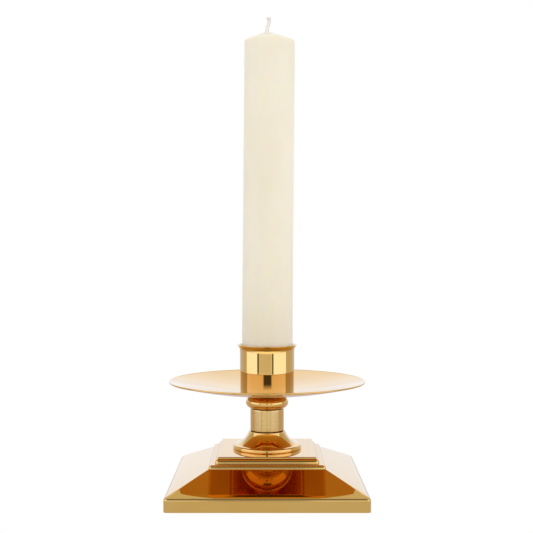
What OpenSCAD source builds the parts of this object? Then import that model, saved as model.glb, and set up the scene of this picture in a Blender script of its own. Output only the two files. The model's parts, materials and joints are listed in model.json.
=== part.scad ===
// Square-based brass candlestick for one thick candle, held together by a single tie rod.
// Millimetres, +Z up, origin on the table under the centre of the base.

/* [Base] */
// Width of the square base across its upright band
base_w = 140; // [130:1:160]
// Height at which the slopes would meet the band if the edge were sharp
slope_low_z = 9.5; // [8.5:0.1:12]
// Rounding of the edge between band and slopes
band_edge_r = 2.2; // [1:0.1:3]
// Height of the top of the slopes
slope_top_z = 23.3; // [20:0.1:23.5]
// Width of the lowest of the three steps
low_step_w = 82.8; // [80:0.1:90]
// Width of the middle step
mid_step_w = 74.1; // [72:0.1:78]
// Width of the top plate
plate_w = 70.3; // [66:0.1:71]
// Rounding of the upright corners of the base
corner_r = 2.5; // [1:0.1:4]
// Wall of the base casting, measured upright through a slope
casting_wall = 3.6; // [3:0.1:4]

/* [Foot] */
// Radius of the foot's flange
flange_r = 25.7; // [24:0.1:28]
// Radius of the flange's rounded edge
flange_edge_r = 1.35; // [1:0.05:1.5]
// Radius of the hollow curve between neck and flange
cove_r = 16.5; // [15:0.5:18]
// Height of the foot above the top plate
foot_h = 12.8; // [12:0.1:14]

/* [Stem] */
// Radius of the satin tube
tube_r = 12.45; // [12:0.05:12.8]
// Wall of the satin tube
tube_wall = 1.5; // [1:0.1:2]
// Length of the satin tube
tube_len = 17.1; // [12:0.1:30]
// Largest radius of the half-round bead
bead_r = 15.86; // [15:0.02:17]
// Height of the bead
bead_h = 8.4; // [8:0.1:10]
// Radius of the collar under the drip pan
collar_r = 12.2; // [11:0.1:13]
// Height of the collar between bead and drip pan
collar_h = 2.4; // [2:0.1:6]

/* [Drip pan] */
// Radius of the drip pan over its rim
pan_r = 73; // [60:1:80]
// Thickness of the pan's sheet
pan_t = 1; // [0.8:0.1:1.4]
// Radius of the pan's flat seat under the socket
pan_seat_r = 20.5; // [20.4:0.1:22]
// Radius of the sphere that the pan is dished to
dish_sphere_r = 285; // [220:5:400]
// Radius of the rolled edge
pan_rim_r = 0.65; // [0.6:0.05:0.9]

/* [Socket] */
// Outer radius of the candle socket
socket_r = 20.3; // [20.2:0.05:20.4]
// Wall of the candle socket
socket_wall = 1.1; // [1:0.05:1.1]
// Height of the socket from the pan to its lip
socket_h = 35.1; // [30:0.1:50]
// Height of the flare under the lip
flare_h = 3.6; // [3:0.1:5]
// How far the lip stands out past the socket
flare_out = 2.6; // [1:0.05:3]
// Height of the candle's seat above the pan
seat_h = 8; // [8:0.1:12]

/* [Candle] */
// Radius of the candle
candle_r = 18.95; // [18.5:0.05:18.95]
// Length of the candle from its foot to the shoulder
candle_len = 254; // [100:1:300]
// Height of the cone on top of the candle
cone_h = 6.6; // [4:0.1:10]
// Radius of the small flat around the wick
cone_top_r = 2.3; // [2:0.1:4]
// Lean of the candle in its loose socket, in degrees
candle_lean = 0.45; // [0:0.05:0.45]
// Radius of the wick
wick_r = 1.35; // [1:0.05:1.6]
// Height of the wick's free end
wick_h = 11.2; // [6:0.1:14]

/* [Fasteners] */
// Radius of the tie rod's thread
rod_r = 4; // [3:0.5:4]
// Width of the nuts across their flats
nut_af = 13; // [10:1:13]

/* [Hidden] */
$fn = 96;
tiny = 0.02;            // clearance where two pieces are fitted together
spigot_clear = 0.05;    // clearance around a turned spigot
big = 400;

// Underside: felt, then board in a rebate of the casting
felt_t = 1.4;
board_t = 2.5;
casting_z = 0.4;
board_top_z = felt_t + board_t;
rebate_half = base_w / 2 - 3;
board_half = rebate_half - 0.2;
felt_half = rebate_half - 0.5;

// Heights of the steps
low_step_z = slope_top_z + 2.6;
mid_step_z = low_step_z + 3.5;
plate_z = mid_step_z + 1.2;
low_step_r = 2.1;
mid_step_r = 2.8;
plate_edge_r = 0.6;

// Slope of the base and its rounded edge
base_half = base_w / 2;
low_half = low_step_w / 2;
slope_k = (slope_top_z - slope_low_z) / (base_half - low_half);
slope_len = sqrt(1 + slope_k * slope_k);
edge_x = base_half - band_edge_r;
edge_z = slope_low_z + band_edge_r * (slope_k - slope_len);

// Hollow under the casting
hollow_half = rebate_half - 2.5;
hollow_side_z = slope_low_z + slope_k * (base_half - hollow_half) - casting_wall;
hollow_neck_half = 38;
hollow_neck_z = slope_low_z + slope_k * (base_half - hollow_neck_half) - casting_wall;
ceiling_half = 32.5;
ceiling_z = plate_z - 4.8;
boss_r = 12;
boss_z = 20;

// Tie rod, nuts and washers
rod_hole_r = rod_r + 0.25;
washer_r = 8;
washer_t = 1.6;
lock_washer_r = 7.4;
lock_washer_t = 2;
lock_gap = 1.2;
base_nut_h = 6.5;
socket_nut_h = 4;
nut_corner_r = nut_af / 2 / cos(30);
base_nut_z = boss_z - washer_t - lock_washer_t - base_nut_h;
rod_low_z = base_nut_z - 3;

// Foot, tube, bead and collar, stacked
foot_z = plate_z + foot_h;
flange_low_z = plate_z + 0.9;
flange_z = plate_z + 1.8;
cove_x = 28.86;
cove_z = plate_z + 18.24;
tube_z = foot_z + tube_len;
tube_bore_r = tube_r - tube_wall;
tube_chamfer = 0.35;
spigot_r = tube_bore_r - spigot_clear;
spigot_h = 3;
bead_z = tube_z + bead_h;
bead_neck_r = 12.4;
bead_bulge = bead_r - bead_neck_r;
bead_arc_r = (pow(bead_h / 2, 2) + pow(bead_bulge, 2)) / (2 * bead_bulge);
register_r = 8;
register_h = 1.4;
collar_z = bead_z + collar_h;

// Drip pan
pan_top_z = collar_z + pan_t;
pan_hole_r = 7.05;
dish_centre_z = collar_z + sqrt(pow(dish_sphere_r, 2) - pow(pan_seat_r, 2));
rim_x = pan_r - pan_rim_r;
rim_z = dish_centre_z - sqrt(pow(dish_sphere_r - pan_t / 2, 2) - pow(rim_x, 2));

// Socket and its base
socket_bore_r = socket_r - socket_wall;
lip_z = pan_top_z + socket_h;
flare_z = lip_z - flare_h;
flare_r = (pow(flare_out, 2) + pow(flare_h, 2)) / (2 * flare_out);
seat_z = pan_top_z + seat_h;
counterbore_r = 9;
counterbore_z = pan_top_z + 2;
socket_base_spigot_z = collar_z - 1.3;
socket_nut_z = counterbore_z + washer_t;
rod_top_z = seat_z - 0.2;

// Candle: it leans about the middle of the socket, and its foot clears the seat
lean_z = (seat_z + flare_z) / 2;
candle_foot_z = seat_z + candle_r * sin(candle_lean) + 0.05;
candle_shoulder_z = candle_foot_z + candle_len;
cone_top_z = candle_shoulder_z + cone_h;

// Wick: upright in the candle, so it drifts off the candle's axis towards the top
wick_x = -0.2;
wick_points = [
    [wick_x, 0, candle_foot_z + 2],
    [wick_x, 0, cone_top_z],
    [wick_x + 1.9, 0, cone_top_z + wick_h * 0.72],
    [wick_x + 1.4, 0, cone_top_z + wick_h - wick_r]
];

// Rectangle in a turned profile, from radius r0 to r1 and from height z0 to z1
module band(r0, r1, z0, z1) {
    translate([r0, z0]) square([r1 - r0, z1 - z0]);
}

// Circle in a profile
module spot(x, z, r) {
    translate([x, z]) circle(r = r);
}

// Flat bar of a square profile, its upper outer edge rounded
module step_bar(half, z0, z1, r) {
    band(0, half - r, z0, z1);
    band(0, half, z0, z1 - r);
    spot(half - r, z1 - r, r);
}

// Solid of square plan whose half width at each height is that of a half profile
module square_plan() {
    intersection() {
        rotate([90, 0, 0]) linear_extrude(height = big, center = true) {
            children();
            mirror([1, 0]) children();
        }
        rotate([90, 0, 90]) linear_extrude(height = big, center = true) {
            children();
            mirror([1, 0]) children();
        }
    }
}

// Upright prism of square plan with rounded corners
module rounded_prism(half, r, z0, z1) {
    translate([0, 0, z0]) linear_extrude(height = z1 - z0) {
        square([2 * half, 2 * (half - r)], center = true);
        square([2 * (half - r), 2 * half], center = true);
        for (x = [-1, 1], y = [-1, 1]) spot(x * (half - r), y * (half - r), r);
    }
}

// Half profile of the casting's outside
module base_profile() {
    polygon([
        [0, casting_z],
        [base_half, casting_z],
        [base_half, edge_z],
        [edge_x + band_edge_r * slope_k / slope_len, edge_z + band_edge_r / slope_len],
        [low_half, slope_top_z],
        [0, slope_top_z]
    ]);
    spot(edge_x, edge_z, band_edge_r);
    step_bar(low_half, slope_top_z, low_step_z, low_step_r);
    step_bar(mid_step_w / 2, low_step_z, mid_step_z, mid_step_r);
    step_bar(plate_w / 2, mid_step_z, plate_z, plate_edge_r);
}

// Half profile of the hollow under the casting
module hollow_profile() {
    polygon([
        [0, -1],
        [rebate_half, -1],
        [rebate_half, board_top_z],
        [hollow_half, board_top_z],
        [hollow_half, hollow_side_z],
        [hollow_neck_half, hollow_neck_z],
        [ceiling_half, hollow_neck_z],
        [ceiling_half, ceiling_z],
        [0, ceiling_z]
    ]);
}

module base_shell() {
    color("goldenrod") difference() {
        union() {
            difference() {
                intersection() {
                    square_plan() base_profile();
                    rounded_prism(base_half, corner_r, 0, plate_z + 1);
                }
                square_plan() hollow_profile();
            }
            translate([0, 0, boss_z]) cylinder(r = boss_r, h = ceiling_z - boss_z + 1);
        }
        translate([0, 0, boss_z - 1]) cylinder(r = rod_hole_r, h = plate_z);
    }
}

module backing_board() {
    color("saddlebrown") rounded_prism(board_half, 1, felt_t, board_top_z);
}

module felt_pad() {
    color("darkgreen") rounded_prism(felt_half, 1, 0, felt_t);
}

module tie_rod() {
    color("silver") translate([0, 0, rod_low_z]) cylinder(r = rod_r, h = rod_top_z - rod_low_z);
}

module flat_washer(z) {
    color("silver") translate([0, 0, z]) difference() {
        cylinder(r = washer_r, h = washer_t);
        translate([0, 0, -1]) cylinder(r = rod_r + 0.2, h = washer_t + 2);
    }
}

module base_washer() {
    flat_washer(boss_z - washer_t);
}

module lock_washer() {
    color("dimgray") translate([0, 0, boss_z - washer_t - lock_washer_t]) difference() {
        cylinder(r = lock_washer_r, h = lock_washer_t);
        translate([0, 0, -1]) cylinder(r = rod_r + 0.1, h = lock_washer_t + 2);
        translate([0, -lock_gap / 2, -1]) cube([washer_r, lock_gap, lock_washer_t + 2]);
    }
}

module hex_nut(z, h) {
    color("silver") translate([0, 0, z]) difference() {
        cylinder(r = nut_corner_r, h = h, $fn = 6);
        translate([0, 0, -1]) cylinder(r = rod_r + tiny, h = h + 2);
    }
}

module base_nut() {
    hex_nut(base_nut_z, base_nut_h);
}

module trumpet_foot() {
    color("gold") rotate_extrude() {
        difference() {
            band(rod_hole_r, cove_x - 6.5, plate_z, foot_z);
            spot(cove_x, cove_z, cove_r);
        }
        band(rod_hole_r, flange_r - flange_edge_r, plate_z, flange_z + flange_edge_r);
        intersection() {
            union() {
                for (z = [flange_low_z, flange_z]) spot(flange_r - flange_edge_r, z, flange_edge_r);
                band(rod_hole_r, flange_r, flange_low_z, flange_z);
            }
            band(0, flange_r + 1, plate_z, foot_z);
        }
        band(rod_hole_r, spigot_r, foot_z, foot_z + spigot_h);
    }
}

module satin_tube() {
    color("khaki") rotate_extrude() polygon([
        [tube_bore_r, foot_z],
        [tube_r - tube_chamfer, foot_z],
        [tube_r, foot_z + tube_chamfer],
        [tube_r, tube_z - tube_chamfer],
        [tube_r - tube_chamfer, tube_z],
        [tube_bore_r, tube_z]
    ]);
}

module stem_bead() {
    color("gold") rotate_extrude() {
        intersection() {
            spot(bead_r - bead_arc_r, tube_z + bead_h / 2, bead_arc_r);
            band(register_r + spigot_clear, bead_r + 1, tube_z, bead_z);
        }
        band(rod_hole_r, register_r + spigot_clear + 1, tube_z, bead_z - register_h - 0.1);
        band(rod_hole_r, spigot_r, tube_z - spigot_h, tube_z);
    }
}

module pan_collar() {
    color("goldenrod") rotate_extrude() difference() {
        union() {
            band(rod_hole_r, collar_r, bead_z, collar_z);
            band(rod_hole_r, register_r, bead_z - register_h, bead_z);
        }
        band(0, pan_hole_r, socket_base_spigot_z - 0.1, collar_z + 1);
    }
}

module drip_pan() {
    color("gold") rotate_extrude() {
        band(pan_hole_r, pan_seat_r, collar_z, pan_top_z);
        intersection() {
            difference() {
                spot(0, dish_centre_z, dish_sphere_r);
                spot(0, dish_centre_z, dish_sphere_r - pan_t);
            }
            band(pan_seat_r - tiny, rim_x, collar_z - 1, lip_z);
        }
        spot(rim_x, rim_z, pan_rim_r);
    }
}

module socket_base() {
    color("goldenrod") rotate_extrude() difference() {
        union() {
            band(rod_hole_r, socket_bore_r - tiny, pan_top_z, seat_z);
            band(rod_hole_r, pan_hole_r - spigot_clear, socket_base_spigot_z, pan_top_z);
        }
        band(0, counterbore_r, counterbore_z, seat_z + 1);
    }
}

module candle_socket() {
    color("gold") rotate_extrude() {
        band(socket_bore_r, socket_r, pan_top_z, flare_z);
        intersection() {
            difference() {
                spot(socket_r + flare_r, flare_z, flare_r + socket_wall);
                spot(socket_r + flare_r, flare_z, flare_r);
            }
            band(0, socket_r + flare_out, flare_z, lip_z);
        }
    }
}

module socket_washer() {
    flat_washer(counterbore_z);
}

module socket_nut() {
    hex_nut(socket_nut_z, socket_nut_h);
}

// Leans the candle's pieces about the middle of the socket
module leaning() {
    translate([0, 0, lean_z]) rotate([0, candle_lean, 0]) translate([0, 0, -lean_z]) children();
}

module candle_body() {
    color("ivory") difference() {
        leaning() translate([0, 0, candle_foot_z]) rotate_extrude() polygon([
            [0, 0],
            [candle_r, 0],
            [candle_r, candle_len],
            [cone_top_r, candle_len + cone_h],
            [0, candle_len + cone_h]
        ]);
        translate([wick_x, 0, candle_foot_z - 1]) cylinder(r = wick_r + tiny, h = candle_len + cone_h + 2);
    }
}

module wick() {
    color("white") for (i = [1 : len(wick_points) - 1]) hull() {
        translate(wick_points[i - 1]) sphere(r = wick_r, $fn = 20);
        translate(wick_points[i]) sphere(r = wick_r, $fn = 20);
    }
}

base_shell();
backing_board();
felt_pad();
tie_rod();
base_washer();
lock_washer();
base_nut();
trumpet_foot();
satin_tube();
stem_bead();
pan_collar();
drip_pan();
socket_base();
candle_socket();
socket_washer();
socket_nut();
candle_body();
wick();
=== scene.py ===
import json
import math
import random

import bmesh
import bpy
from mathutils import Matrix, Vector


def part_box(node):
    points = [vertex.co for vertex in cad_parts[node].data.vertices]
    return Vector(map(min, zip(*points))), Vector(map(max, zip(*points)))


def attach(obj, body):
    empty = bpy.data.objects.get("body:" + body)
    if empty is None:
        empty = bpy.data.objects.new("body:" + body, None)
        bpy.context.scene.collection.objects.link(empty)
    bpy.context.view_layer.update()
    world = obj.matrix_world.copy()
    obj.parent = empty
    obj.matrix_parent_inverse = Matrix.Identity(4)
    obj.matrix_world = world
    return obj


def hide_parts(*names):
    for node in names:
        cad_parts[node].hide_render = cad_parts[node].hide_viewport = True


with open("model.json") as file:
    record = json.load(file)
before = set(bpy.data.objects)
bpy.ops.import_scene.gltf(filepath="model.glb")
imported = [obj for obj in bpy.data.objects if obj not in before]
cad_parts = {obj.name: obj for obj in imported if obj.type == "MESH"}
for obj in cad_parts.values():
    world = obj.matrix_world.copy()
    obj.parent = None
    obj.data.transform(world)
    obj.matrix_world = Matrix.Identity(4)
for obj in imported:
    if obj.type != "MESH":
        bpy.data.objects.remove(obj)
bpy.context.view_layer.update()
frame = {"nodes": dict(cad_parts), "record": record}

MM = 0.001
TAU = 2 * math.pi
SEGMENTS = 256          # around a turned piece
WELD = 1e-7             # points this close become one
random.seed(11)


# ---------------------------------------------------------------- the frame

def low(node):
    """A node's lowest height."""
    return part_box(node)[0].z


def high(node):
    """A node's highest height."""
    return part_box(node)[1].z


def radius(node):
    """A turned node's largest radius, or a square node's half width."""
    lo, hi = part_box(node)
    return (hi.y - lo.y) / 2


ROD_HOLE_R = 4.25 * MM
PLATE_Z = high("base_shell")
TUBE_LOW_Z = low("satin_tube")
TUBE_HIGH_Z = high("satin_tube")
BEAD_HIGH_Z = high("stem_bead")
PAN_LOW_Z = high("pan_collar")
SOCKET_LOW_Z = low("candle_socket")
LIP_Z = high("candle_socket")
SEAT_Z = high("socket_base")
CANDLE_TOP_Z = high("candle_body")
CANDLE_R = 18.95 * MM


# ---------------------------------------------------------------- mesh tools

def make_object(name, verts, faces, sharp_angle=32.0):
    """A mesh object with outward faces, smooth but for edges sharper than the angle."""
    mesh = bpy.data.meshes.new(name)
    mesh.from_pydata(verts, [], faces)
    bm = bmesh.new()
    bm.from_mesh(mesh)
    bmesh.ops.remove_doubles(bm, verts=bm.verts, dist=WELD)
    bmesh.ops.recalc_face_normals(bm, faces=bm.faces)
    bm.to_mesh(mesh)
    bm.free()
    mesh.shade_smooth()
    mesh.set_sharp_from_angle(angle=math.radians(sharp_angle))
    piece = bpy.data.objects.new(name, mesh)
    bpy.context.collection.objects.link(piece)
    return piece


def skin_rings(rings, closed_ends=False, joined=True):
    """Faces between rings of equal length; joined makes the last ring meet the first."""
    count = len(rings[0])
    verts = [p for ring in rings for p in ring]
    faces = []
    pairs = len(rings) if joined else len(rings) - 1
    for i in range(pairs):
        a, b = i * count, ((i + 1) % len(rings)) * count
        for j in range(count):
            k = (j + 1) % count
            faces.append((a + j, a + k, b + k, b + j))
    if closed_ends:
        faces.append(tuple(range(count)))
        faces.append(tuple(range((len(rings) - 1) * count, len(rings) * count)))
    return verts, faces


def arc(cx, cz, r, start, end, steps):
    """Points on an arc of a profile, angles in degrees from the outward direction."""
    points = []
    for i in range(steps + 1):
        a = math.radians(start + (end - start) * i / steps)
        points.append((cx + r * math.cos(a), cz + r * math.sin(a)))
    return points


def dense(profile, longest):
    """The profile with no stretch longer than the given length."""
    points = []
    for a, b in zip(profile, profile[1:] + profile[:1]):
        n = max(1, math.ceil(math.dist(a, b) / longest))
        points += [(a[0] + (b[0] - a[0]) * i / n, a[1] + (b[1] - a[1]) * i / n) for i in range(n)]
    return points


def circle(r, z, segments):
    """Points round the axis at one height."""
    return [(r * math.cos(TAU * i / segments), r * math.sin(TAU * i / segments), z)
            for i in range(segments)]


def turned(name, profile, segments=SEGMENTS, longest=4 * MM):
    """A piece turned from a closed profile of (radius, height) points."""
    rings = [circle(r, z, segments) for r, z in dense(profile, longest)]
    return make_object(name, *skin_rings(rings))


def weigh_normals(piece):
    """Keeps large flat faces flat beside their rounded edges."""
    weighted = piece.modifiers.new("weighted", "WEIGHTED_NORMAL")
    weighted.weight = 100
    weighted.keep_sharp = True


def finish_piece(piece, body, slot, material, *nodes):
    """Puts a material on a piece, seats it on its body and hides what it stands for."""
    piece.data.materials.clear()
    piece.data.materials.append(material)
    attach(piece, body)
    if nodes:
        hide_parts(*nodes)


def tarnish_and_shade(piece, inside_r, z0, z1):
    """Browns the faces that lie inside a radius between two heights, darkened nearly to black as
    painted shade.
    """
    piece.data.materials.append(MATERIALS["tarnish_and_shade"])
    for face in piece.data.polygons:
        x, y, z = face.center
        if math.hypot(x, y) < inside_r and z0 < z < z1:
            face.material_index = 1


def repaint(node, material):
    """Gives a CAD node that stays in view its material."""
    slots = frame["nodes"][node].material_slots
    for entry in slots:
        entry.link = "OBJECT"
        entry.material = material


# ---------------------------------------------------------------- materials

class Nodes:
    """A small helper that builds one material's node tree."""

    def __init__(self, name):
        self.material = bpy.data.materials.new(name)
        self.material.use_nodes = True
        self.tree = self.material.node_tree
        self.shader = self.tree.nodes["Principled BSDF"]

    def add(self, kind, **values):
        """A node with some of its settings."""
        node = self.tree.nodes.new(kind)
        for key, value in values.items():
            setattr(node, key, value)
        return node

    def link(self, source, target):
        self.tree.links.new(source, target)

    def feed(self, socket, source):
        """Links a value to one of the shader's inputs."""
        self.link(source, self.shader.inputs[socket])

    def place(self, scale):
        """Object coordinates, stretched by a scale along each axis."""
        coord = self.add("ShaderNodeTexCoord")
        mapping = self.add("ShaderNodeMapping")
        mapping.inputs["Scale"].default_value = scale
        self.link(coord.outputs["Object"], mapping.inputs["Vector"])
        return mapping.outputs["Vector"]

    def noise(self, scale, detail=3.0, rough=0.5, stretch=(1, 1, 1)):
        """A noise value, stretched along an axis where its scale is small."""
        node = self.add("ShaderNodeTexNoise")
        node.inputs["Scale"].default_value = scale
        node.inputs["Detail"].default_value = detail
        node.inputs["Roughness"].default_value = rough
        self.link(self.place(stretch), node.inputs["Vector"])
        return node.outputs["Fac"]

    def spread(self, value, to_min, to_max, from_min=0.3, from_max=0.7):
        """The value carried over from one range to another."""
        node = self.add("ShaderNodeMapRange")
        node.inputs["From Min"].default_value = from_min
        node.inputs["From Max"].default_value = from_max
        node.inputs["To Min"].default_value = to_min
        node.inputs["To Max"].default_value = to_max
        self.link(value, node.inputs["Value"])
        return node.outputs["Result"]

    def ramp(self, value, stops):
        """A colour from a value, through (position, colour) stops."""
        node = self.add("ShaderNodeValToRGB")
        elements = node.color_ramp.elements
        while len(elements) < len(stops):
            elements.new(0.5)
        for element, (position, color) in zip(elements, stops):
            element.position = position
            element.color = (*color, 1)
        self.link(value, node.inputs["Fac"])
        return node.outputs["Color"]

    def bump(self, height, strength, distance, after=None):
        """A normal from a height, on top of an earlier normal if there is one."""
        node = self.add("ShaderNodeBump")
        node.inputs["Strength"].default_value = strength
        node.inputs["Distance"].default_value = distance
        self.link(height, node.inputs["Height"])
        if after is not None:
            self.link(after, node.inputs["Normal"])
        return node.outputs["Normal"]

    def set(self, **values):
        """Sets constants on the shader, with _ for a space in an input's name."""
        for key, value in values.items():
            self.shader.inputs[key.replace("_", " ")].default_value = value


BRASS = (0.76, 0.447, 0.096)


def polished_brass(name, wave):
    """High polish under clear lacquer: swirl marks, a slow waviness and a little colour drift."""
    m = Nodes(name)
    darker = tuple(c * f for c, f in zip(BRASS, (0.97, 0.94, 0.85)))
    m.feed("Base Color", m.ramp(m.noise(38, 2), [(0.35, darker), (0.65, BRASS)]))
    m.feed("Roughness", m.spread(m.noise(210, 4, 0.6), 0.02, 0.05))
    slow = m.bump(m.noise(55, 1), wave, 0.02 * MM)
    swirl = m.noise(900, 2, 0.5, (1, 0.12, 1))
    m.feed("Normal", m.bump(swirl, 0.04, 0.002 * MM, slow))
    m.set(Metallic=1.0, Coat_Weight=1.0, Coat_Roughness=0.02, Coat_IOR=1.3)
    return m.material


def pan_underside():
    """The pan's underside, only roughly polished and uneven; its darker brass colour, darkest
    towards the collar, is painted shade.
    """
    m = Nodes("brass_under_painted_shade")
    length = m.add("ShaderNodeVectorMath", operation="LENGTH")
    m.link(m.place((1, 1, 0)), length.inputs[0])
    reach = m.spread(length.outputs["Value"], 0, 1, 14 * MM, 50 * MM)
    # painted shade: a darker brass, darkest towards the collar
    m.feed("Base Color", m.ramp(reach, [
        (0.0, (0.66, 0.33, 0.055)), (0.5, (0.66, 0.31, 0.05)), (1.0, (0.75, 0.40, 0.07)),
    ]))
    m.feed("Roughness", m.spread(m.noise(160, 4, 0.6), 0.045, 0.08))
    m.feed("Normal", m.bump(m.noise(70, 2), 0.6, 0.02 * MM))
    m.set(Metallic=1.0)
    return m.material


def satin_brass():
    """Satin finish from the lathe: fine rings that spread each reflection along the tube."""
    m = Nodes("satin_brass")
    tone = m.noise(30, 3, 0.6, (0.6, 0.6, 40))
    m.feed("Base Color", m.ramp(tone, [(0.3, (0.68, 0.44, 0.132)), (0.7, (0.74, 0.48, 0.156))]))
    rings = m.noise(90, 4, 0.7, (0.4, 0.4, 70))
    m.feed("Roughness", m.spread(rings, 0.17, 0.22))
    m.feed("Normal", m.bump(rings, 0.06, 0.004 * MM))
    tangent = m.add("ShaderNodeTangent", direction_type="RADIAL", axis="Z")
    m.feed("Tangent", tangent.outputs["Tangent"])
    m.set(Metallic=1.0, Anisotropic=0.95, Anisotropic_Rotation=0.25)
    return m.material


def tarnish_and_shade_brass():
    """Unpolished brass in the narrow joints, browned and darkened nearly to black as painted shade.
    """
    m = Nodes("tarnish_and_shade_brass")
    shade_mottle = m.noise(500, 4)
    # near-black browns: painted shade in the joints
    m.feed("Base Color", m.ramp(shade_mottle, [(0.3, (0.05, 0.024, 0.008)), (0.7, (0.12, 0.06, 0.02))]))
    m.set(Metallic=0.6, Roughness=0.65)
    return m.material


def zinc_steel():
    """Zinc-plated steel with a dull, grained surface."""
    m = Nodes("zinc_steel")
    grain = m.noise(400, 4, 0.65)
    m.feed("Base Color", m.ramp(grain, [(0.3, (0.46, 0.46, 0.44)), (0.7, (0.66, 0.66, 0.62))]))
    m.feed("Roughness", m.spread(m.noise(700, 3), 0.24, 0.42))
    m.feed("Normal", m.bump(m.noise(1500, 2), 0.15, 0.01 * MM))
    m.set(Metallic=1.0)
    return m.material


def hardboard():
    """Brown hardboard, its fibres lying one way."""
    m = Nodes("hardboard")
    fibre = m.noise(420, 6, 0.7, (1, 0.25, 1))
    m.feed("Base Color", m.ramp(fibre, [(0.3, (0.10, 0.052, 0.024)), (0.7, (0.21, 0.12, 0.06))]))
    m.feed("Normal", m.bump(fibre, 0.5, 0.08 * MM))
    m.set(Roughness=0.78)
    return m.material


def felt():
    """Green felt: fine tufts under slow clouds of light and dark."""
    m = Nodes("felt")
    tuft = m.noise(900, 8, 0.75)
    cloud = m.noise(45, 3)
    mixed = m.add("ShaderNodeMath", operation="MULTIPLY")
    m.link(tuft, mixed.inputs[0])
    m.link(m.spread(cloud, 0.85, 1.1), mixed.inputs[1])
    greens = [(0.28, (0.008, 0.035, 0.018)), (0.68, (0.03, 0.10, 0.055))]
    m.feed("Base Color", m.ramp(mixed.outputs[0], greens))
    m.feed("Normal", m.bump(tuft, 0.9, 0.25 * MM))
    m.set(Roughness=0.95, Sheen_Weight=0.35)
    return m.material


def wax():
    """Ivory candle wax: light passes a few millimetres in, with faint clouds and a dull bloom."""
    m = Nodes("wax")
    cloud = m.noise(26, 4, 0.55, (1, 1, 0.45))
    m.feed("Base Color", m.ramp(cloud, [(0.3, (0.80, 0.74, 0.60)), (0.7, (0.84, 0.79, 0.665))]))
    m.feed("Roughness", m.spread(m.noise(140, 4, 0.6), 0.42, 0.58))
    dents = m.bump(m.noise(34, 2, 0.5, (1, 1, 0.5)), 0.35, 0.12 * MM)
    m.feed("Normal", m.bump(m.noise(700, 4, 0.6), 0.10, 0.03 * MM, dents))
    m.set(IOR=1.44, Specular_IOR_Level=0.25, Subsurface_Weight=0.85,
          Subsurface_Radius=(1.0, 0.72, 0.42), Subsurface_Scale=4.5 * MM)
    return m.material


def cotton():
    """Waxed cotton yarn with fine fibres along the strands."""
    m = Nodes("cotton")
    fibre = m.noise(1400, 5, 0.7, (1, 1, 0.3))
    m.feed("Base Color", m.ramp(fibre, [(0.3, (0.80, 0.74, 0.65)), (0.7, (0.93, 0.88, 0.80))]))
    m.feed("Normal", m.bump(fibre, 0.4, 0.04 * MM))
    m.set(Roughness=0.6, Subsurface_Weight=0.3, Subsurface_Radius=(1.0, 0.8, 0.6),
          Subsurface_Scale=1 * MM)
    return m.material


MATERIALS = {
    "base": polished_brass("polished_brass_base", wave=0.22),
    "turned": polished_brass("polished_brass_turned", wave=0.10),
    "sheet": polished_brass("polished_brass_sheet", wave=0.30),
    "under": pan_underside(),
    "satin": satin_brass(),
    "tarnish_and_shade": tarnish_and_shade_brass(),
    "steel": zinc_steel(),
    "board": hardboard(),
    "felt": felt(),
    "wax": wax(),
    "cotton": cotton(),
}


# ---------------------------------------------------------------- base

PLAN_CORNER = 10        # steps round a corner of the square plan
PLAN_SIDE = 8           # steps along a side


def plan_ring(half, corner, z):
    """A square ring with rounded corners, counter-clockwise."""
    points = []
    for quarter in range(4):
        turn = quarter * 90
        cx = (half - corner) * (1 if quarter in (0, 3) else -1)
        cy = (half - corner) * (1 if quarter in (0, 1) else -1)
        for i in range(PLAN_CORNER + 1):
            a = math.radians(turn + 90 * i / PLAN_CORNER)
            points.append((cx + corner * math.cos(a), cy + corner * math.sin(a), z))
        a = math.radians(turn + 90)
        sx, sy = cx + corner * math.cos(a), cy + corner * math.sin(a)
        length = 2 * (half - corner)
        for i in range(1, PLAN_SIDE):
            step = length * i / PLAN_SIDE
            points.append((sx - step * math.sin(a), sy + step * math.cos(a), z))
    return points


def round_ring(r, z, like):
    """A round ring whose points lie in the same directions as those of another ring."""
    return [(r * x / math.hypot(x, y), r * y / math.hypot(x, y), z) for x, y, _ in like]


def step_profile(half, z0, z1, r_low, r_high, corner):
    """One step's outline as (half width, height, plan corner radius)."""
    points = [(half - r_low + r_low * math.cos(math.radians(a)),
               z0 + r_low + r_low * math.sin(math.radians(a))) for a in range(-90, 1, 15)]
    points += [(half - r_high + r_high * math.cos(math.radians(a)),
                z1 - r_high + r_high * math.sin(math.radians(a))) for a in range(0, 91, 15)]
    return [(x, z, corner) for x, z in points]


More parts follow.
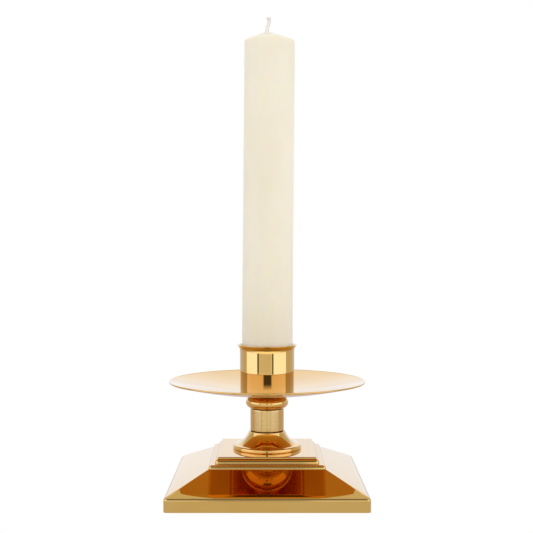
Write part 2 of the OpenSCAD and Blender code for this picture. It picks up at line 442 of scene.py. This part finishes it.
def build_base():
    """The cast base: band, slopes, three steps, and the hollow and boss underneath."""
    half = radius("base_shell")
    z0 = low("base_shell")
    slope_low, slope_top = 9.5 * MM, 23.3 * MM
    low_half, mid_half, plate_half = 41.4 * MM, 37.05 * MM, 35.15 * MM
    edge_r = 2.2 * MM
    k = (slope_top - slope_low) / (half - low_half)
    angle = math.degrees(math.atan(k))
    edge_x = half - edge_r
    edge_z = slope_low + edge_r * (k - math.hypot(1, k))
    foot_r = 0.2 * MM
    corner_r = 2.5 * MM

    outside = [(x, z, corner_r) for x, z in arc(half - foot_r, z0 + foot_r, foot_r, -90, 0, 4)]
    outside += [(half, z0 + 1.2 * MM, corner_r), (half, edge_z - 0.25 * MM, corner_r)]
    crown = 9               # degrees that the buffed lower edge of the slope turns in a slow curve
    crown_a = 90 - angle - crown
    outside += [(x, z, corner_r) for x, z in arc(edge_x, edge_z, edge_r, 0, crown_a, 12)]
    x0, z0_edge, _ = outside[-1]
    slow_r = 26 * MM
    a0 = math.radians(crown_a)
    cx, cz = x0 - slow_r * math.cos(a0), z0_edge - slow_r * math.sin(a0)
    slow_curve = arc(cx, cz, slow_r, crown_a, 90 - angle, 8)[1:]
    outside += [(x, z, 2.3 * MM) for x, z in slow_curve]
    x1, z1, _ = outside[-1]
    for share, corner in ((0.008, 2.3), (0.05, 1.6), (0.3, 1.0), (0.7, 0.8), (0.99, 0.7)):
        outside.append((x1 + (low_half - x1) * share, z1 + (slope_top - z1) * share, corner * MM))
    low_z, mid_z = slope_top + 2.6 * MM, PLATE_Z - 1.2 * MM
    outside += step_profile(low_half, slope_top, low_z, 0.05 * MM, 2.1 * MM, 1.8 * MM)
    outside.append((mid_half - 0.9 * MM, low_z, 0.9 * MM))
    outside += step_profile(mid_half, low_z, mid_z, 0.25 * MM, 2.8 * MM, 2.2 * MM)
    outside.append((plate_half + 0.02 * MM, mid_z, 0.8 * MM))
    outside += step_profile(plate_half, mid_z, PLATE_Z, 0.02 * MM, 0.6 * MM, 1.0 * MM)
    outside.append((plate_half - 0.6 * MM, PLATE_Z, 0.6 * MM))

    rings = [plan_ring(x, corner, z) for x, z, corner in outside]
    like = rings[0]
    ceiling_z, boss_z, boss_r = PLATE_Z - 4.8 * MM, 20 * MM, 12 * MM
    for r, z in ((25 * MM, PLATE_Z), (ROD_HOLE_R, PLATE_Z), (ROD_HOLE_R, boss_z),
                 (boss_r - 0.5 * MM, boss_z), (boss_r, boss_z + 0.5 * MM), (boss_r, ceiling_z)):
        rings.append(round_ring(r, z, like))
    rebate, ledge_z = half - 3 * MM, high("backing_board")
    hollow, knee, neck = rebate - 2.5 * MM, 38 * MM, 32.5 * MM
    wall = 3.6 * MM

    def under_slope(x):
        """The hollow's height below the slope, one wall down."""
        return slope_low + k * (half - x) - wall

    for x, z, corner in (
        (neck, ceiling_z, 3 * MM),
        (neck, under_slope(knee), 3 * MM),
        (knee, under_slope(knee), 3 * MM),
        (hollow, under_slope(hollow), 3 * MM),
        (hollow, ledge_z, 3 * MM),
        (rebate, ledge_z, 1.5 * MM),
        (rebate, z0 + 0.3 * MM, 1.5 * MM),
        (rebate + 0.3 * MM, z0, 1.6 * MM),
    ):
        rings.append(plan_ring(x, corner, z))
    piece = make_object("base_shell_brass", *skin_rings(rings))
    weigh_normals(piece)
    finish_piece(piece, "holder", "polished_brass", MATERIALS["base"], "base_shell")


def build_underside():
    """The felt pad, a soft-edged sheet with a slightly uneven face, and the board's material."""
    half, z0, z1 = radius("felt_pad"), low("felt_pad"), high("felt_pad")
    corner_r, edge_r = 1.5 * MM, 0.35 * MM
    rings = [plan_ring(half - 0.5 * MM, corner_r, z1)]
    for a in range(90, -91, -30):
        c, s = math.cos(math.radians(a)), math.sin(math.radians(a))
        rings.append(plan_ring(half - edge_r + edge_r * c, corner_r,
                               (z0 + z1) / 2 + (z1 - z0) / 2 * s))
    for share in (0.94, 0.8, 0.6, 0.4, 0.2, 0.05):
        z = z0 + random.uniform(0.0, 0.05) * MM
        rings.append(plan_ring(half * share, corner_r * share, z))
    pad = make_object("felt_pad_green", *skin_rings(rings, closed_ends=True, joined=False))
    finish_piece(pad, "holder", "felt", MATERIALS["felt"], "felt_pad")
    repaint("backing_board", MATERIALS["board"])


# ---------------------------------------------------------------- stem

JOINT_GAP = 0.45 * MM   # open hairline where two turned pieces meet


def build_foot():
    """The trumpet foot: rounded flange, hollow curve, a narrow ledge and the spigot in the tube."""
    flange_r, z0 = radius("trumpet_foot"), low("trumpet_foot")
    edge_r = 1.35 * MM
    edge_x, edge_low_z, edge_high_z = flange_r - edge_r, z0 + 0.9 * MM, z0 + 1.8 * MM
    cove_x, cove_z, cove_r = 28.86 * MM, z0 + 18.24 * MM, 16.5 * MM
    edge_low_a = -41.8      # degrees, where the rounded edge meets the plate
    crease_x = 22.1 * MM    # where the hollow curve meets the flange
    crease_a = math.degrees(math.acos((crease_x - cove_x) / cove_r))
    neck_z = TUBE_LOW_Z - 0.25 * MM
    neck_a = math.degrees(math.asin((cove_z - neck_z) / cove_r))
    spigot_r, spigot_z = 10.9 * MM, high("trumpet_foot")
    profile = [(ROD_HOLE_R, z0), (edge_x - 1.2 * MM, z0)]
    profile += arc(edge_x, edge_low_z, edge_r, edge_low_a, 0, 8)
    profile += arc(edge_x, edge_high_z, edge_r, 0, 84, 12)
    profile += arc(cove_x, cove_z, cove_r, -crease_a, -180 + neck_a, 34)
    top_x = profile[-1][0]
    neck_r = 0.25 * MM
    profile += arc(top_x - neck_r, neck_z, neck_r, 15, 90, 4)
    profile += [
        (12.3 * MM, TUBE_LOW_Z), (12.1 * MM, TUBE_LOW_Z - 0.5 * MM),
        (spigot_r, TUBE_LOW_Z - 0.5 * MM), (spigot_r, spigot_z - 0.4 * MM),
        (spigot_r - 0.4 * MM, spigot_z), (ROD_HOLE_R, spigot_z),
    ]
    foot = turned("trumpet_foot_brass", profile)
    finish_piece(foot, "holder", "polished_brass", MATERIALS["turned"], "trumpet_foot")
    # painted shade in the joint under the tube
    tarnish_and_shade(foot, 12.35 * MM, TUBE_LOW_Z - 0.6 * MM, spigot_z)


def build_tube():
    """The satin tube; small chamfers at its ends make the joints read as dark hairlines."""
    r, bore, chamfer = radius("satin_tube"), 10.95 * MM, 0.3 * MM
    z0, z1 = TUBE_LOW_Z + JOINT_GAP, TUBE_HIGH_Z - JOINT_GAP
    soft_r, soft_h, full_h = r - 0.08 * MM, chamfer * 0.7, chamfer + 0.1 * MM
    profile = [
        (bore, z0), (r - chamfer, z0), (soft_r, z0 + soft_h), (r, z0 + full_h),
        (r, z1 - full_h), (soft_r, z1 - soft_h), (r - chamfer, z1), (bore, z1),
    ]
    finish_piece(turned("satin_tube_brass", profile, longest=1 * MM), "holder", "satin_brass",
                 MATERIALS["satin"], "satin_tube")


def build_bead():
    """The half-round bead with its spigot in the tube and the register for the collar."""
    r, neck = radius("stem_bead"), 12.4 * MM
    bulge, half_h = r - neck, (BEAD_HIGH_Z - TUBE_HIGH_Z) / 2
    arc_r = (half_h ** 2 + bulge ** 2) / (2 * bulge)
    arc_x, arc_z = r - arc_r, TUBE_HIGH_Z + half_h
    a = math.degrees(math.asin((half_h - 0.02 * MM) / arc_r))
    spigot_r, spigot_z = 10.9 * MM, low("stem_bead")
    register_r, register_z = 8.05 * MM, BEAD_HIGH_Z - 1.5 * MM
    profile = [(ROD_HOLE_R, spigot_z), (spigot_r, spigot_z), (spigot_r, TUBE_HIGH_Z),
               (neck - 0.7 * MM, TUBE_HIGH_Z)]
    profile += arc(arc_x, arc_z, arc_r, -a, a, 40)
    groove_z = BEAD_HIGH_Z - 0.5 * MM
    profile += [(neck - 0.5 * MM, BEAD_HIGH_Z - 0.02 * MM), (neck - 0.8 * MM, groove_z),
                (11 * MM, groove_z), (10.8 * MM, BEAD_HIGH_Z), (register_r, BEAD_HIGH_Z),
                (register_r, register_z), (ROD_HOLE_R, register_z)]
    bead = turned("stem_bead_brass", profile)
    finish_piece(bead, "holder", "polished_brass", MATERIALS["turned"], "stem_bead")
    # painted shade in the joints with the tube and the collar
    tarnish_and_shade(bead, neck - 0.2 * MM, spigot_z, TUBE_HIGH_Z + 0.1 * MM)
    tarnish_and_shade(bead, neck - 0.3 * MM, BEAD_HIGH_Z - 0.7 * MM, BEAD_HIGH_Z + 0.1 * MM)


def build_collar():
    """The collar that carries the drip pan."""
    r, z0, z1 = radius("pan_collar"), BEAD_HIGH_Z, PAN_LOW_Z
    register_r, register_z = 8 * MM, low("pan_collar")
    hole_r, hole_z = 7.05 * MM, z1 - 1.4 * MM
    gap, edge_r = 0.3 * MM, 0.3 * MM
    profile = [(ROD_HOLE_R, register_z), (register_r, register_z), (register_r, z0 + gap),
               (r - 0.4 * MM, z0 + gap)]
    profile += arc(r - edge_r, z0 + gap + edge_r, edge_r, -90, 0, 4)
    profile += [(r, z1), (hole_r, z1), (hole_r, hole_z), (ROD_HOLE_R, hole_z)]
    finish_piece(turned("pan_collar_brass", profile), "holder", "polished_brass",
                 MATERIALS["turned"], "pan_collar")


# ---------------------------------------------------------------- pan and socket

def build_pan():
    """The spun drip pan: flat seat, shallow dish and a thin rolled edge."""
    seat_r, sheet, hole_r = 20.5 * MM, 1 * MM, 7.05 * MM
    sphere_r, rim_r = 285 * MM, 0.65 * MM
    rim_x = 73 * MM - rim_r
    centre_z = PAN_LOW_Z + math.sqrt(sphere_r ** 2 - seat_r ** 2)
    rim_z = centre_z - math.sqrt((sphere_r - sheet / 2) ** 2 - rim_x ** 2)

    def dish(r, sphere):
        """A point of the dish at a radius, on one of its two spheres."""
        return r, centre_z - math.sqrt(sphere ** 2 - r ** 2)

    steps = 28
    start, end = seat_r + 0.8 * MM, rim_x - 0.5 * MM
    radii = [start + (end - start) * i / steps for i in range(steps + 1)]
    profile = [(hole_r, PAN_LOW_Z), (seat_r - 0.5 * MM, PAN_LOW_Z)]
    profile += [dish(r, sphere_r) for r in radii]
    profile += arc(rim_x, rim_z, rim_r, -125, 150, 18)
    profile += [dish(r, sphere_r - sheet) for r in reversed(radii)]
    profile += [(seat_r - 0.5 * MM, PAN_LOW_Z + sheet), (hole_r, PAN_LOW_Z + sheet)]
    pan = turned("drip_pan_brass", profile, segments=320)
    finish_piece(pan, "holder", "polished_brass", MATERIALS["sheet"], "drip_pan")
    pan.data.materials.append(MATERIALS["under"])
    for face in pan.data.polygons:          # the underside is only roughly polished, and darker with painted shade
        if face.normal.z < -0.9 and math.hypot(*face.center[:2]) < rim_x - 1 * MM:
            face.material_index = 1


def build_socket():
    """The drawn socket with its flared, softly rounded lip."""
    wall, lip_wall, flare_h = 1.1 * MM, 0.6 * MM, 3.7 * MM
    play = 0.02 * MM                            # round the plug
    r = radius("socket_base") + wall + play
    flare_out = radius("candle_socket") - r
    flare_z = LIP_Z - flare_h
    lead, lead_out = 4.6 * MM, 0.07 * MM        # the wall starts to open just below the flare
    flare_power = 2.1                           # a larger power opens the flare later
    lip_h, steps = 0.35 * MM, 24
    line = [(r, flare_z - lead * 1.02)]
    for i in range(1, steps + 1):
        t = i / steps
        z = flare_z - lead + t * (lead + flare_h - lip_h)
        rise = max(0.0, (z - flare_z) / flare_h)
        start = min(1.0, (z - flare_z + lead) / lead)
        line.append((r + lead_out * start ** 2 + lead_out * 2 * rise
                     + (flare_out - lip_wall * 0.45 - lead_out * 3) * rise ** flare_power, z))
    outer, inner = [], []
    for a, b, c in zip([line[0]] + line, line, line[1:] + [line[-1]]):
        dx, dz = c[0] - a[0], c[1] - a[1]
        size = math.hypot(dx, dz)
        thin = wall + (lip_wall - wall) * max(0.0, (b[1] - flare_z) / (LIP_Z - flare_z))
        outer.append(b)
        inner.append((b[0] - thin * dz / size, b[1] + thin * dx / size))
    tilt = math.degrees(math.atan2(outer[-1][0] - inner[-1][0], inner[-1][1] - outer[-1][1]))
    tip_x, tip_z = [(a + b) / 2 for a, b in zip(outer[-1], inner[-1])]
    lip = arc(tip_x, tip_z, math.dist(outer[-1], inner[-1]) / 2, tilt - 90, tilt + 90, 10)
    z0, edge_r = SOCKET_LOW_Z, 0.25 * MM
    profile = [(r - wall, z0), (r - 0.3 * MM, z0)]
    profile += arc(r - edge_r, z0 + edge_r, edge_r, -80, 0, 4)
    profile += outer + lip[1:-1] + inner[::-1]
    finish_piece(turned("candle_socket_brass", profile, longest=2 * MM), "holder", "polished_brass",
                 MATERIALS["turned"], "candle_socket")


def build_socket_base():
    """The turned plug that closes the socket and seats the candle, counterbored for its nut."""
    r, z0, z1 = radius("socket_base"), SOCKET_LOW_Z, SEAT_Z
    spigot_r, spigot_z = 7 * MM, low("socket_base")
    bore_r, bore_z = 9 * MM, z0 + 2 * MM
    profile = [(ROD_HOLE_R, spigot_z), (spigot_r, spigot_z), (spigot_r, z0), (r, z0),
               (r, z1 - 0.4 * MM), (r - 0.4 * MM, z1)]
    for i in range(6):          # shallow turning grooves on the seat
        x = r - (1.6 + i * 1.2) * MM
        profile += [(x + 0.2 * MM, z1), (x, z1 - 0.08 * MM), (x - 0.2 * MM, z1)]
    profile += [(bore_r + 0.4 * MM, z1), (bore_r, z1 - 0.4 * MM), (bore_r, bore_z),
                (ROD_HOLE_R, bore_z)]
    finish_piece(turned("socket_base_brass", profile, segments=128), "holder", "polished_brass",
                 MATERIALS["turned"], "socket_base")


# ---------------------------------------------------------------- fasteners

def hex_radius(angle, flats):
    """Distance from the centre of a hexagon to its edge in a direction."""
    return flats / 2 / math.cos((angle + math.pi / 6) % (math.pi / 3) - math.pi / 6)


def build_nut(node, segments=72):
    """A hexagon nut with chamfered corners and a countersunk thread hole."""
    flats, z0, z1 = 13 * MM, low(node), high(node)
    chamfer_slope = math.tan(math.radians(60))
    hole, sink = 4.02 * MM, 0.5 * MM
    levels = [z0 + (z1 - z0) * t for t in (0, 0.04, 0.09, 0.16, 0.5, 0.84, 0.91, 0.96, 1)]
    rings = [circle(hole, z0 + sink, segments), circle(hole + sink, z0, segments)]
    for z in levels:
        cap = flats / 2 - 0.1 * MM + min(z - z0, z1 - z) * chamfer_slope
        ring = []
        for i in range(segments):
            a = TAU * i / segments
            r = min(hex_radius(a, flats), cap)
            ring.append((r * math.cos(a), r * math.sin(a), z))
        rings.append(ring)
    rings += [circle(hole + sink, z1, segments), circle(hole, z1 - sink, segments)]
    finish_piece(make_object(node + "_steel", *skin_rings(rings)), "holder", "zinc_steel",
                 MATERIALS["steel"], node)


def build_rod(segments=32):
    """The tie rod, threaded where the two nuts sit and plain between."""
    rod_r, pitch, depth = radius("tie_rod"), 1.25 * MM, 0.6 * MM
    z0, z1 = low("tie_rod"), high("tie_rod")
    threads = ((z0, z0 + 16 * MM), (z1 - 9 * MM, z1))
    step = pitch / 8
    heights = [z0]
    for start, end in threads:
        heights += [start + step * i for i in range(int((end - start) / step) + 1)]
    heights.append(z1)
    rings = []
    for z in heights:
        cut = any(start <= z <= end for start, end in threads)
        end_taper = max(0.0, 1 - min(z - z0, z1 - z) / (0.8 * MM)) * 0.5 * MM
        ring = []
        for i in range(segments):
            a = TAU * i / segments
            phase = (z / pitch - i / segments) % 1
            groove = depth * (1 - abs(2 * phase - 1)) if cut else 0
            r = min(rod_r - groove, rod_r - end_taper)
            ring.append((r * math.cos(a), r * math.sin(a), z))
        rings.append(ring)
    piece = make_object("tie_rod_steel", *skin_rings(rings, closed_ends=True, joined=False))
    finish_piece(piece, "holder", "zinc_steel", MATERIALS["steel"], "tie_rod")


# ---------------------------------------------------------------- candle

CANDLE_AXIS = Vector(frame["record"]["behaviour"]["joints"][0]["axis"])
LEAN_Z = (SEAT_Z + LIP_Z - 3.6 * MM) / 2


def leaning():
    """The candle's lean, about the middle of the socket."""
    turn = Vector((0, 0, 1)).rotation_difference(CANDLE_AXIS).to_matrix().to_4x4()
    return Matrix.Translation((0, 0, LEAN_Z)) @ turn @ Matrix.Translation((0, 0, -LEAN_Z))


def build_candle(segments=192):
    """The candle: a moulded cylinder with faint dents, a soft shoulder and an off-centre tip."""
    r, shoulder_r = CANDLE_R, 0.5 * MM
    top_z = CANDLE_TOP_Z - 0.12 * MM
    cone_h, flat_r, tip_x = 6.6 * MM, 2.3 * MM, -1.6 * MM
    foot_z = SEAT_Z + 0.25 * MM
    shoulder_z = top_z - cone_h
    side_low_z, side_high_z = foot_z + 1.0 * MM, shoulder_z - 0.6 * MM
    slope = math.degrees(math.atan2(cone_h, r - flat_r))
    profile = [(r - 1.0 * MM, foot_z), (r - 0.3 * MM, foot_z + 0.3 * MM), (r, side_low_z)]
    count = 70
    straight = side_high_z - side_low_z
    profile += [(r, side_low_z + straight * i / count) for i in range(1, count + 1)]
    profile += arc(r - shoulder_r, side_high_z, shoulder_r, 0, 90 - slope, 6)
    x1, z1 = profile[-1]
    profile += [(x1 + (flat_r - x1) * i / 10, z1 + (top_z - z1) * i / 10) for i in range(1, 11)]
    profile += [(flat_r * 0.8, top_z + 0.05 * MM)]
    shrink = 0.075 * MM         # the depth of the deepest dents
    rings = []
    for x, z in profile:
        rise = max(0.0, (z - shoulder_z) / cone_h)
        ring = []
        for i in range(segments):
            a = TAU * i / segments
            dent = (0.045 * math.sin(3 * a + z * 31) + 0.03 * math.sin(5 * a - z * 57 + 1)) * MM
            hand = rise * (0.16 * math.sin(4 * a + 1.3) + 0.10 * math.sin(7 * a + 0.4)) * MM
            reach = x - shrink + dent
            ring.append((reach * math.cos(a) + rise * tip_x, reach * math.sin(a), z + hand))
        rings.append(ring)
    piece = make_object("candle_wax", *skin_rings(rings, closed_ends=True, joined=False))
    piece.data.transform(leaning())
    finish_piece(piece, "candle", "wax", MATERIALS["wax"], "candle_body")


def smooth_path(points, steps):
    """A Catmull-Rom curve through the points."""
    padded = [points[0] * 2 - points[1]] + points + [points[-1] * 2 - points[-2]]
    path = []
    for p0, p1, p2, p3 in zip(padded, padded[1:], padded[2:], padded[3:]):
        for i in range(steps):
            t = i / steps
            path.append(0.5 * (2 * p1 + (p2 - p0) * t + (2 * p0 - 5 * p1 + 4 * p2 - p3) * t * t
                               + (3 * p1 - p0 - 3 * p2 + p3) * t ** 3))
    return path + [points[-1]]


def tube_along(path, radii, segments):
    """Rings round a path, with a radius at each point."""
    rings = []
    side = Vector((0, 1, 0))
    for i, point in enumerate(path):
        ahead = path[min(i + 1, len(path) - 1)] - path[max(i - 1, 0)]
        forward = ahead.normalized()
        side = (side - forward * side.dot(forward)).normalized()
        third = forward.cross(side)
        rings.append([
            tuple(point + (side * math.cos(TAU * j / segments)
                           + third * math.sin(TAU * j / segments)) * radii[i])
            for j in range(segments)
        ])
    return rings


def build_wick():
    """The braided wick: four yarns plaited round the route of the CAD wick, dipped at the tip."""
    top_z = high("wick")
    wick_x, free = -0.2 * MM, top_z - CANDLE_TOP_Z
    route = [
        Vector((wick_x, 0, CANDLE_TOP_Z - 6 * MM)),
        Vector((wick_x, 0, CANDLE_TOP_Z - 0.5 * MM)),
        Vector((wick_x + 0.75 * MM, 0, CANDLE_TOP_Z + free * 0.36)),
        Vector((wick_x + 1.75 * MM, 0, CANDLE_TOP_Z + free * 0.68)),
        Vector((wick_x + 1.7 * MM, 0, CANDLE_TOP_Z + free * 0.83)),
        Vector((wick_x + 1.2 * MM, 0, top_z - 0.55 * MM)),
    ]
    core = smooth_path(route, 24)
    verts, faces = [], []

    def add(rings):
        """Adds one closed tube to the piece."""
        v, f = skin_rings(rings, closed_ends=True, joined=False)
        offset = len(verts)
        verts.extend(v)
        faces.extend(tuple(i + offset for i in face) for face in f)

    count = len(core)
    lay = TAU / 30              # the yarns' turn from one point of the core to the next
    yarns, sides, core_r = 4, 14, 0.75 * MM
    for strand in range(yarns):
        path, radii = [], []
        for i, point in enumerate(core):
            a = i * lay + strand * TAU / yarns
            share = i / (count - 1)
            spread = (0.92 - 0.20 * math.sin(math.pi * min(1, share * 1.05))) * MM
            cross = 0.5 + 0.5 * math.cos(2 * a)
            path.append(point + Vector((math.cos(a) * spread * (0.85 + 0.3 * cross),
                                        math.sin(a) * spread, 0)))
            radii.append((0.62 + 0.03 * math.sin(9 * a + strand)) * MM)
        add(tube_along(path, radii, sides))
    add(tube_along(core, [core_r] * count, sides))
    cap, cap_radii = [], []
    for x, z, r in ((0.08, -1.25, 1.0), (0, -0.7, 1.45), (0, 0, 1.55), (-0.02, 0.35, 1.2),
                    (-0.03, 0.5, 0.5)):
        cap.append(core[-1] + Vector((x * MM, 0, z * MM)))
        cap_radii.append(r * MM)
    add(tube_along(cap, cap_radii, 24))
    piece = make_object("wick_cotton", verts, faces, sharp_angle=60)
    finish_piece(piece, "candle", "cotton", MATERIALS["cotton"], "wick")


# ---------------------------------------------------------------- stage

def build_floor():
    """A plain pale floor: white to the eye; in the metal's reflections it glows a mid tone, dimmed
    near the base as a painted shadow.
    """
    bpy.ops.mesh.primitive_circle_add(vertices=96, radius=0.75, fill_type="NGON")
    floor = bpy.context.object
    floor.name = "floor"
    m = Nodes("floor")
    output = m.tree.nodes["Material Output"]
    m.set(Base_Color=(0.93, 0.93, 0.93, 1), Roughness=0.9, Specular_IOR_Level=0.0)
    coord = m.add("ShaderNodeTexCoord")
    away = m.add("ShaderNodeSeparateXYZ")
    m.link(coord.outputs["Object"], away.inputs[0])
    # painted shadow: the glow is dimmer and warmer near the base, brighter far in front
    fall = m.spread(away.outputs["Y"], 0.74, 1.5, -0.20, -0.45)     # brighter far in front
    near = m.spread(away.outputs["Y"], 0, 1, -0.02, -0.08)
    tone = m.add("ShaderNodeMix", data_type="RGBA")
    tone.inputs[6].default_value = (0.90, 0.80, 0.80, 1)
    tone.inputs[7].default_value = (0.95, 1.01, 1.26, 1)
    m.link(near, tone.inputs["Factor"])
    glow = m.add("ShaderNodeEmission")
    m.link(tone.outputs[2], glow.inputs["Color"])
    m.link(fall, glow.inputs["Strength"])
    white = m.add("ShaderNodeEmission")
    path = m.add("ShaderNodeLightPath")
    reflected = m.add("ShaderNodeMixShader")
    m.link(path.outputs["Is Glossy Ray"], reflected.inputs["Fac"])
    m.link(m.shader.outputs["BSDF"], reflected.inputs[1])
    m.link(glow.outputs["Emission"], reflected.inputs[2])
    direct = m.add("ShaderNodeMixShader")
    m.link(path.outputs["Is Camera Ray"], direct.inputs["Fac"])
    m.link(reflected.outputs["Shader"], direct.inputs[1])
    m.link(white.outputs["Emission"], direct.inputs[2])
    m.link(direct.outputs["Shader"], output.inputs["Surface"])
    floor.data.materials.append(m.material)


def build_world():
    """A white studio: a dim front, two soft boxes beside the camera, a bright sweep behind."""
    world = bpy.data.worlds.new("studio")
    bpy.context.scene.world = world
    world.use_nodes = True
    tree = world.node_tree
    tree.nodes.clear()

    def add(kind, **values):
        """A node with some of its settings."""
        node = tree.nodes.new(kind)
        for key, value in values.items():
            setattr(node, key, value)
        return node

    def math_node(operation, a, b=None, clamp=False):
        """One step of arithmetic on values or numbers."""
        node = add("ShaderNodeMath", operation=operation, use_clamp=clamp)
        for socket, value in zip(node.inputs, (a, b)):
            if isinstance(value, (int, float)):
                socket.default_value = value
            elif value is not None:
                tree.links.new(value, socket)
        return node.outputs[0]

    def ramp(value, stops):
        """A brightness up to 2 from a value, through (position, brightness) stops."""
        node = add("ShaderNodeValToRGB")
        elements = node.color_ramp.elements
        while len(elements) < len(stops):
            elements.new(0.5)
        for element, (position, level) in zip(elements, stops):
            element.position = position
            element.color = (level / 2, level / 2, level / 2, 1)
        tree.links.new(value, node.inputs["Fac"])
        return math_node("MULTIPLY", node.outputs["Color"], 2.0)

    def around(degrees):
        """A direction's place on a ramp: 0 degrees is the camera's side."""
        return 0.5 + degrees / 360

    coord = add("ShaderNodeTexCoord")
    split = add("ShaderNodeSeparateXYZ")
    tree.links.new(coord.outputs["Generated"], split.inputs[0])
    x, y, z = split.outputs
    azimuth = math_node("ARCTAN2", x, math_node("MULTIPLY", y, -1.0))
    turn = math_node("ADD", math_node("DIVIDE", azimuth, TAU), 0.5)
    lift = math_node("ARCSINE", z)

    below = ramp(turn, [
        (around(-180), 0.60), (around(-98), 0.58), (around(-93), 1.40), (around(-44), 1.45),
        (around(-33), 0.72), (around(17), 0.70), (around(29), 1.45), (around(84), 1.40),
        (around(89), 0.58), (around(180), 0.60),
    ])
    level = ramp(turn, [
        (around(-180), 0.88), (around(-155), 0.88), (around(-140), 0.78), (around(-98), 0.66),
        (around(-93), 1.3), (around(-60), 1.35), (around(-25), 1.0), (around(20), 1.0),
        (around(50), 1.35), (around(84), 1.3), (around(89), 0.66), (around(140), 0.74),
        (around(155), 0.84), (around(180), 0.88),
    ])
    high_up = ramp(turn, [
        (around(-180), 0.95), (around(-160), 0.95), (around(-145), 0.60), (around(-98), 0.52),
        (around(-93), 1.2), (around(-20), 1.1), (around(20), 1.1), (around(84), 1.2),
        (around(89), 0.52), (around(145), 0.60), (around(160), 0.95), (around(180), 0.95),
    ])
    above = ramp(turn, [(around(-180), 0.66), (around(-110), 0.66), (around(-60), 0.44),
                        (around(60), 0.44), (around(110), 0.66), (around(180), 0.66)])

    def rise(value, start, end):
        """0 before the start in degrees and 1 after the end."""
        return math_node("DIVIDE", math_node("SUBTRACT", value, math.radians(start)),
                         math.radians(end - start), clamp=True)

    def blend(a, b, share):
        """a, or b where the share is 1."""
        rest = math_node("SUBTRACT", 1.0, share)
        return math_node("ADD", math_node("MULTIPLY", a, rest), math_node("MULTIPLY", b, share))

    light = blend(below, level, rise(lift, -2, 1))
    light = blend(blend(light, high_up, rise(lift, 11, 17)), above, rise(lift, 42, 60))

    def patch(left, right, bottom, top, soft):
        """1 inside a patch of the studio wall, given in degrees."""
        across = math_node("MULTIPLY", rise(azimuth, left - soft, left),
                           rise(azimuth, right + soft, right))
        upward = math_node("MULTIPLY", rise(lift, bottom - soft, bottom),
                           rise(lift, top + soft, top))
        return math_node("MULTIPLY", across, upward)

    for dark, patch_edges in (
        (0.05, (-41, -36, -30, 4, 1.8)),        # stands between the lights
        (0.05, (22, 26, -30, 4, 1.8)),
        (0.09, (-13, 16, 28, 58, 6)),           # the unlit wall above the camera
        (0.12, (-3, 2, 0, 14, 1.5)),            # the camera
    ):
        light = blend(light, dark, patch(*patch_edges))
    overall = 1.21
    light = math_node("MULTIPLY", light, overall)

    def tint(share, a, b):
        """The colour a, or b where the share is 1."""
        node = add("ShaderNodeMix", data_type="RGBA")
        tree.links.new(share, node.inputs["Factor"])
        for socket, value in ((node.inputs[6], a), (node.inputs[7], b)):
            if isinstance(value, tuple):
                socket.default_value = (*value, 1)
            else:
                tree.links.new(value, socket)
        return node.outputs[2]

    in_front = math_node("DIVIDE", math_node("SUBTRACT", 0.3, y), 0.6, clamp=True)
    lamp = math_node("DIVIDE", math_node("SUBTRACT", light, 1.15), 0.3, clamp=True)
    colour = tint(in_front, (0.94, 0.96, 0.99), (0.94, 1.01, 1.30))
    colour = tint(lamp, colour, (0.88, 1.0, 1.75))

    studio = add("ShaderNodeBackground")
    tree.links.new(colour, studio.inputs["Color"])
    tree.links.new(light, studio.inputs["Strength"])
    backdrop = add("ShaderNodeBackground")
    backdrop.inputs["Color"].default_value = (1, 1, 1, 1)
    path = add("ShaderNodeLightPath")
    mix = add("ShaderNodeMixShader")
    output = add("ShaderNodeOutputWorld")
    tree.links.new(path.outputs["Is Glossy Ray"], mix.inputs["Fac"])
    tree.links.new(backdrop.outputs[0], mix.inputs[1])
    tree.links.new(studio.outputs[0], mix.inputs[2])
    tree.links.new(mix.outputs[0], output.inputs["Surface"])


def build_lights():
    """One large soft light beside the camera for the wax; the metal mirrors the studio instead."""
    light = bpy.data.lights.new("soft_front", "AREA")
    light.shape = "DISK"
    light.size = 1.0
    light.energy = 2.2
    lamp = bpy.data.objects.new("soft_front", light)
    lamp.location = (0.45, -1.3, 0.35)
    lamp.rotation_euler = (Vector((0, 0, 0.2)) - lamp.location).to_track_quat("-Z", "Y").to_euler()
    lamp.visible_glossy = False
    bpy.context.collection.objects.link(lamp)


def build_camera():
    """A level camera at the height of the candle's lower third."""
    data = bpy.data.cameras.new("camera")
    data.sensor_width = 36
    data.lens = 61.3
    camera = bpy.data.objects.new("camera", data)
    side, distance, height = -0.45 * MM, 679 * MM, 165.9 * MM
    camera.location = (side, -distance, height)
    camera.rotation_euler = (math.radians(90), 0, 0)
    bpy.context.collection.objects.link(camera)
    bpy.context.scene.camera = camera


def set_look():
    """Plain colours, and bounces enough for brass that mirrors brass."""
    scene = bpy.context.scene
    scene.view_settings.view_transform = "Standard"
    scene.cycles.max_bounces = 16
    scene.cycles.glossy_bounces = 12
    scene.cycles.diffuse_bounces = 5
    scene.cycles.caustics_reflective = True
    scene.cycles.sample_clamp_indirect = 6.0


build_camera()
build_base()
build_underside()
build_foot()
build_tube()
build_bead()
build_collar()
build_pan()
build_socket()
build_socket_base()
for nut in ("base_nut", "socket_nut"):
    build_nut(nut)
build_rod()
for washer in ("base_washer", "lock_washer", "socket_washer"):
    repaint(washer, MATERIALS["steel"])
build_candle()
build_wick()
build_floor()
build_world()
build_lights()
set_look()
